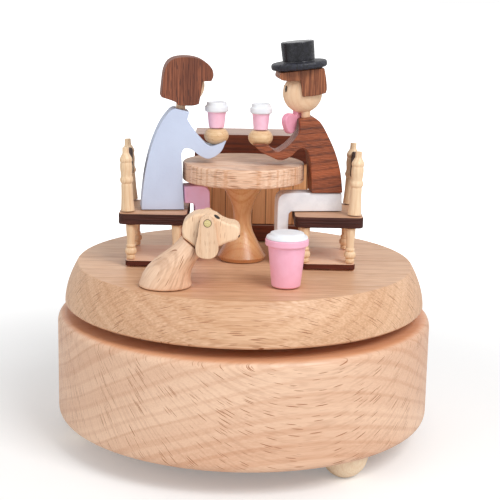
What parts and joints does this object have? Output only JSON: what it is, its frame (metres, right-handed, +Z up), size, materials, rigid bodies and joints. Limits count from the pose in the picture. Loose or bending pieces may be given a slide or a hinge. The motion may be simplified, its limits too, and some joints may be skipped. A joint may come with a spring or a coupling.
{
  "type": "wooden music box",
  "caption": "Turned wooden music box whose turntable carries a small cafe scene and winds the spring of a comb and cylinder movement.",
  "frame": {"origin": "centre of the base's circle, on the surface that the feet stand on", "axes": "+Z up along the turntable's axis; the front of the scene, with the dog and the large cup, faces -Y; +X is to the right seen from the front"},
  "size_m": [0.12, 0.12, 0.1286],
  "materials": {
    "beech": "satin lacquer",
    "pale_wood": "satin",
    "honey_wood": "satin lacquer",
    "oak": "satin",
    "walnut": "satin",
    "dark_walnut": "satin",
    "plywood": "matt, dark cut edges",
    "pale_blue_paint": "satin paint",
    "pink_paint": "satin paint",
    "white_paint": "satin paint",
    "black_paint": "satin paint",
    "brass": "polished",
    "steel": "bright"
  },
  "bodies": {
    "base": {"base_body": "beech", "base_cover": "plywood", "foot_1": "pale_wood", "foot_2": "pale_wood", "foot_3": "pale_wood", "bedplate": "brass", "spring_barrel": "brass", "mainspring": "steel", "comb": "steel"},
    "turntable": {"winding_shaft": "steel", "drive_wheel": "brass", "turntable": "beech", "shaft_flange": "brass", "table_top": "beech", "table_pedestal": "honey_wood", "counter_top": "dark_walnut", "counter_panel": "honey_wood", "counter_plinth": "dark_walnut", "dog_body": "oak", "dog_head": "oak", "dog_ear_near": "oak", "dog_ear_far": "oak", "dog_ear_peg": "pale_wood", "large_cup": "pink_paint", "large_cup_lid": "white_paint", "left_hair": "walnut", "left_head": "pale_wood", "left_dress": "pale_blue_paint", "left_trousers": "pink_paint", "left_hands": "pale_wood", "left_hand_cup": "pink_paint", "right_hat": "black_paint", "right_hair": "walnut", "right_head": "pale_wood", "right_coat": "walnut", "right_bow_tie": "pink_paint", "right_trousers": "white_paint", "right_hands": "pale_wood", "right_hand_cup": "pink_paint", "left_seat": "plywood", "left_floor_plate": "plywood", "left_back_panel": "plywood", "left_leg_1": "pale_wood", "left_leg_2": "pale_wood", "left_leg_3": "pale_wood", "left_leg_4": "pale_wood", "left_post_front": "pale_wood", "left_post_back": "pale_wood", "right_seat": "plywood", "right_floor_plate": "plywood", "right_back_panel": "plywood", "right_leg_1": "pale_wood", "right_leg_2": "pale_wood", "right_leg_3": "pale_wood", "right_leg_4": "pale_wood", "right_post_front": "pale_wood", "right_post_back": "pale_wood"},
    "note_cylinder": {"note_cylinder": "brass"},
    "governor_wheel": {"governor_wheel": "brass"},
    "governor_worm": {"governor_worm": "steel"}
  },
  "joints": [
    {"name": "turntable_spin", "type": "hinge", "parent": "base", "child": "turntable", "pos_m": [0, 0, 0.0448], "axis": [0, 0, 1], "continuous": true},
    {"name": "cylinder_spin", "type": "hinge", "parent": "base", "child": "note_cylinder", "pos_m": [-0.026, 0, 0.02055], "axis": [1, 0, 0], "continuous": true},
    {"name": "governor_spin", "type": "hinge", "parent": "base", "child": "governor_wheel", "pos_m": [-0.026, -0.01144, 0.02055], "axis": [1, 0, 0], "continuous": true},
    {"name": "worm_spin", "type": "hinge", "parent": "base", "child": "governor_worm", "pos_m": [-0.0263, -0.01679, 0.02055], "axis": [0, 0, 1], "continuous": true}
  ],
  "couplings": [
    {"joint": "cylinder_spin", "follows": "turntable_spin", "ratio": 4},
    {"joint": "governor_spin", "follows": "turntable_spin", "ratio": -17.6},
    {"joint": "worm_spin", "follows": "turntable_spin", "ratio": -281.6}
  ]
}
